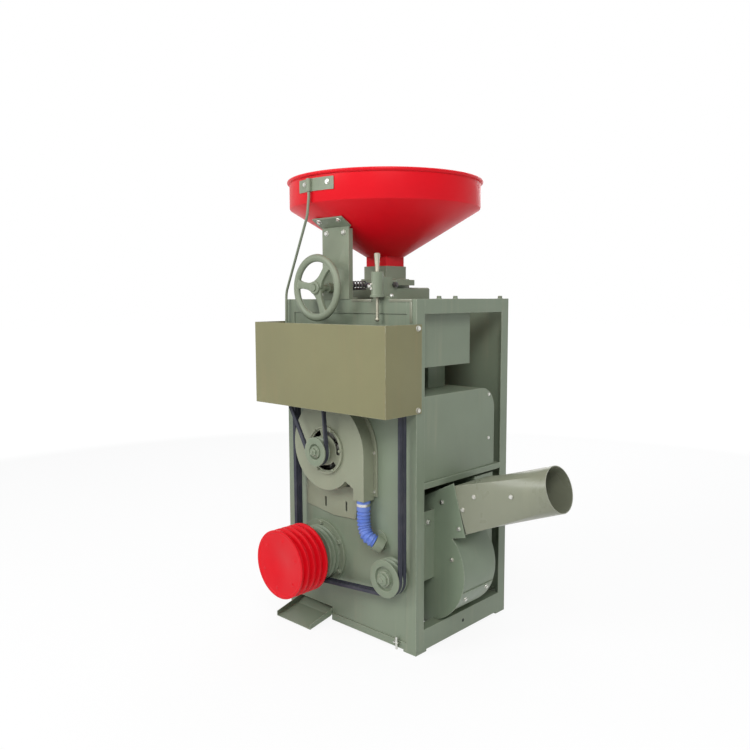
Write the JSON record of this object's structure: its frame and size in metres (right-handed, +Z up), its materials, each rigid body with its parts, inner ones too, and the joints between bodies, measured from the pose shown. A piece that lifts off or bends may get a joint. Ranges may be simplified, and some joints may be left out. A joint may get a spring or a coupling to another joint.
{
  "type": "rice huller",
  "caption": "Belt-driven rice huller and polisher in a steel cabinet, with round hopper, rubber rolls, polishing mill, blower and husk fan with a slanting duct.",
  "frame": {"origin": "centre of the four foot bolt holes, on the floor", "axes": "+X to the right towards the husk duct, +Y to the back, +Z up"},
  "size_m": [1.1984, 0.862, 1.735],
  "materials": {
    "frame_paint": "semi-gloss paint",
    "guard_paint": "semi-gloss paint",
    "fan_paint": "semi-gloss paint",
    "blower_paint": "semi-gloss paint on casting",
    "casting_paint": "semi-gloss paint on casting",
    "pulley_paint": "paint, bare in the grooves",
    "red_paint": "gloss paint",
    "bare_steel": "turned and ground",
    "iron": "as cast",
    "belt_rubber": "matt",
    "roll_rubber": "matt",
    "hose_plastic": "corrugated"
  },
  "bodies": {
    "cabinet": {"corner_posts": "frame_paint", "frame_rails": "frame_paint", "front_panel": "frame_paint", "closing_panels": "frame_paint", "belt_guard": "guard_paint", "main_belts": "belt_rubber", "blower_belt": "belt_rubber", "flange_bearings": "iron", "bearing_housing": "casting_paint", "mill_body": "casting_paint", "mill_screen": "bare_steel", "bran_hopper": "frame_paint", "mill_feed_chute": "frame_paint", "rice_chute": "frame_paint", "separator_housing": "frame_paint", "aspiration_box": "frame_paint", "fan_scroll": "fan_paint", "fan_front_plate": "fan_paint", "fan_duct": "fan_paint", "suction_duct": "frame_paint", "fan_bracket": "frame_paint", "blower_casing": "blower_paint", "blower_cover": "blower_paint", "air_hose": "hose_plastic", "hose_elbow": "casting_paint", "husker_casing": "casting_paint", "husker_cover": "casting_paint", "hopper": "red_paint", "hopper_collar": "casting_paint", "hopper_bracket": "casting_paint", "stay_clip": "casting_paint", "stay_rod": "casting_paint", "cast_post": "casting_paint", "pressure_tie": "bare_steel", "idler_pin": "bare_steel"},
    "main_rotor": {"main_shaft": "bare_steel", "drive_pulley": "red_paint", "main_pulley": "pulley_paint", "milling_roller": "iron"},
    "fan_rotor": {"fan_shaft": "bare_steel", "fan_pulley": "pulley_paint", "fan_impeller": "bare_steel"},
    "blower_rotor": {"blower_shaft": "bare_steel", "blower_pulley": "pulley_paint", "blower_impeller": "bare_steel"},
    "fixed_roll_unit": {"fixed_roll_shaft": "bare_steel", "fixed_roll": "roll_rubber", "roll_pulley": "pulley_paint", "blower_drive_pulley": "pulley_paint", "fixed_gear": "iron"},
    "roll_swing": {"roll_arms": "iron"},
    "moving_roll_unit": {"moving_roll_shaft": "bare_steel", "moving_roll": "roll_rubber", "moving_gear": "iron"},
    "idler": {"idler_pulley": "pulley_paint"},
    "adjusting_wheel": {"handwheel": "casting_paint", "handwheel_shaft": "bare_steel"},
    "gate": {"feed_gate": "bare_steel"},
    "pin": {"release_pin": "bare_steel"},
    "rice_flap": {"outlet_gate": "iron"}
  },
  "joints": [
    {"name": "main_spin", "type": "hinge", "parent": "cabinet", "child": "main_rotor", "pos_m": [-0.142, -0.444, 0.282], "axis": [0, -1, 0], "continuous": true},
    {"name": "fan_spin", "type": "hinge", "parent": "cabinet", "child": "fan_rotor", "pos_m": [0.243, -0.318, 0.28], "axis": [0, -1, 0], "continuous": true},
    {"name": "blower_spin", "type": "hinge", "parent": "cabinet", "child": "blower_rotor", "pos_m": [-0.057, -0.385, 0.71], "axis": [0, -1, 0], "continuous": true},
    {"name": "fixed_roll_spin", "type": "hinge", "parent": "cabinet", "child": "fixed_roll_unit", "pos_m": [-0.165, -0.318, 1.047], "axis": [0, -1, 0], "continuous": true},
    {"name": "idler_spin", "type": "hinge", "parent": "cabinet", "child": "idler", "pos_m": [0.246, -0.318, 1.04], "axis": [0, -1, 0], "continuous": true},
    {"name": "roll_opening", "type": "hinge", "parent": "cabinet", "child": "roll_swing", "pos_m": [-0.16343, -0.226, 1.1937], "axis": [0, -1, 0], "range_deg": [0, 2.2]},
    {"name": "moving_roll_spin", "type": "hinge", "parent": "roll_swing", "child": "moving_roll_unit", "pos_m": [-0.02868, -0.198, 1.11646], "axis": [0, -1, 0], "continuous": true},
    {"name": "handwheel_turn", "type": "hinge", "parent": "cabinet", "child": "adjusting_wheel", "pos_m": [-0.078, -0.36, 1.322], "axis": [0, -1, 0], "range_deg": [0, 90]},
    {"name": "feed_gate_slide", "type": "slide", "parent": "cabinet", "child": "gate", "axis": [1, 0, 0], "range_m": [0, 0.1]},
    {"name": "release_pin_lift", "type": "slide", "parent": "cabinet", "child": "pin", "axis": [0, 0, 1], "range_m": [0, 0.025]},
    {"name": "rice_flap_swing", "type": "hinge", "parent": "cabinet", "child": "rice_flap", "pos_m": [-0.204, -0.165, 0.194], "axis": [0, 1, 0], "range_deg": [0, 35]}
  ],
  "couplings": [
    {"joint": "fan_spin", "follows": "main_spin", "ratio": 1.6094},
    {"joint": "blower_spin", "follows": "main_spin", "ratio": 3.0294},
    {"joint": "fixed_roll_spin", "follows": "main_spin", "ratio": 1.2118},
    {"joint": "idler_spin", "follows": "main_spin", "ratio": 1.6885},
    {"joint": "moving_roll_spin", "follows": "main_spin", "ratio": -0.98095},
    {"joint": "roll_opening", "follows": "handwheel_turn", "ratio": 0.02294}
  ]
}
